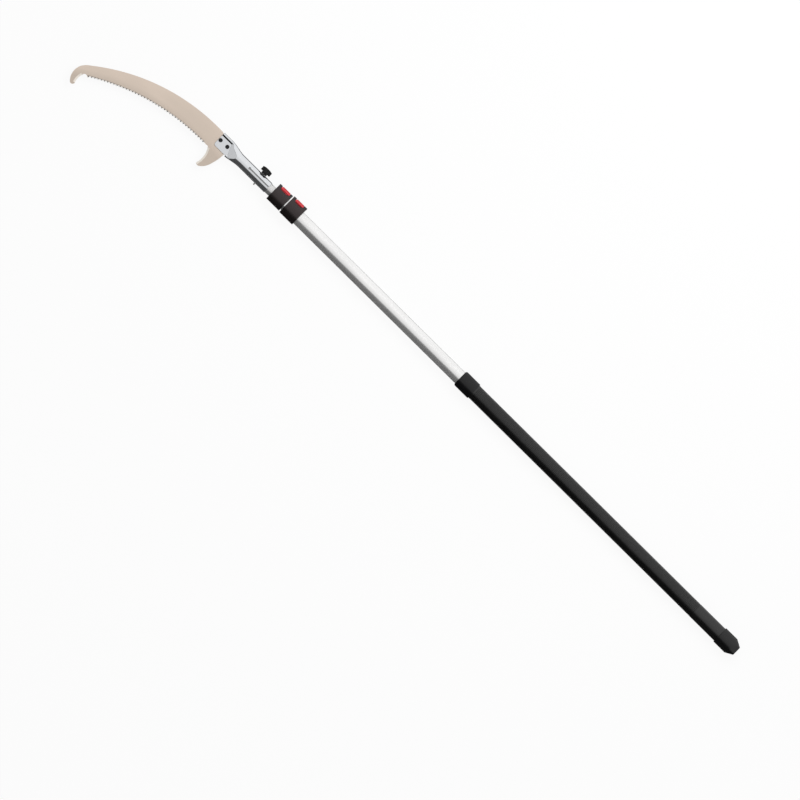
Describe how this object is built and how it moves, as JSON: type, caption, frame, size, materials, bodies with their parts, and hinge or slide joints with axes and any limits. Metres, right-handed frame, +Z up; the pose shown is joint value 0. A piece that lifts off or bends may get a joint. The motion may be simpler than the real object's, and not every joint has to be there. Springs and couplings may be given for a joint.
{
  "type": "telescoping pole saw",
  "caption": "Telescoping pole saw: nested oval tubes with flip-lever clamp collars and a ribbed grip, and a curved toothed blade with a pruning hook clamped in a pressed head.",
  "frame": {"origin": "middle of the butt face, on the pole's axis", "axes": "+X along the pole from the butt to the blade, +Y towards the saw teeth, +Z up from the surface that the saw lies on; the blade lies in the XY plane"},
  "size_m": [2.4647, 0.2181, 0.041],
  "materials": {
    "tube_metal": "satin anodised, fine lengthwise drawing lines",
    "guide_plastic": "moulded acetal",
    "cap_rubber": "smooth moulded rubber",
    "grip_rubber": "fine ribs across the pole",
    "collar_plastic": "fine grained moulded nylon",
    "lever_plastic": "satin moulded",
    "pin_steel": "turned",
    "rivet_metal": "plain",
    "head_chrome": "bright chrome plate on pressed steel",
    "insert_brass": "turned",
    "knob_plastic": "moulded",
    "bolt_black": "black oxide",
    "blade_steel": "satin nickel-coloured plating, ground tooth faces"
  },
  "bodies": {
    "outer_pole": {"outer_tube": "tube_metal", "grip_sleeve": "grip_rubber", "grip_collar": "collar_plastic", "end_cap": "cap_rubber", "lower_collar": "collar_plastic", "lower_bush": "guide_plastic", "lower_lever_pin": "pin_steel", "lower_collar_rivets": "rivet_metal"},
    "lower_flip_lever": {"lower_lever": "lever_plastic"},
    "middle_pole": {"middle_tube": "tube_metal", "middle_guide_plug": "guide_plastic", "upper_collar": "collar_plastic", "upper_bush": "guide_plastic", "upper_lever_pin": "pin_steel", "upper_collar_rivets": "rivet_metal"},
    "upper_flip_lever": {"upper_lever": "lever_plastic"},
    "inner_pole": {"inner_tube": "tube_metal", "inner_guide_plug": "guide_plastic", "blade_head": "head_chrome", "blade": "blade_steel", "blade_bolts": "bolt_black", "blade_nuts": "bolt_black", "clamp_nut": "insert_brass"},
    "screw": {"clamp_screw": "pin_steel"},
    "knob": {"clamp_knob": "knob_plastic"}
  },
  "joints": [
    {"name": "middle_extension", "type": "slide", "parent": "outer_pole", "child": "middle_pole", "axis": [1, 0, 0], "range_m": [0, 1.22]},
    {"name": "top_extension", "type": "slide", "parent": "middle_pole", "child": "inner_pole", "axis": [1, 0, 0], "range_m": [0, 1.22]},
    {"name": "lower_lever_hinge", "type": "hinge", "parent": "outer_pole", "child": "lower_flip_lever", "pos_m": [1.7612, -0.03, 0], "axis": [0, 0, 1], "range_deg": [0, 80]},
    {"name": "upper_lever_hinge", "type": "hinge", "parent": "middle_pole", "child": "upper_flip_lever", "pos_m": [1.814, -0.0272, 0], "axis": [0, 0, 1], "range_deg": [0, 80]},
    {"name": "knob_turn", "type": "hinge", "parent": "screw", "child": "knob", "pos_m": [1.8821, 0, 0], "axis": [0, -1, 0], "range_deg": [0, 2160.1]},
    {"name": "screw_advance", "type": "slide", "parent": "inner_pole", "child": "screw", "axis": [0, -1, 0], "range_m": [0, 0.0048]}
  ],
  "couplings": [
    {"joint": "knob_turn", "follows": "screw_advance", "rad_per_m": 7854}
  ]
}
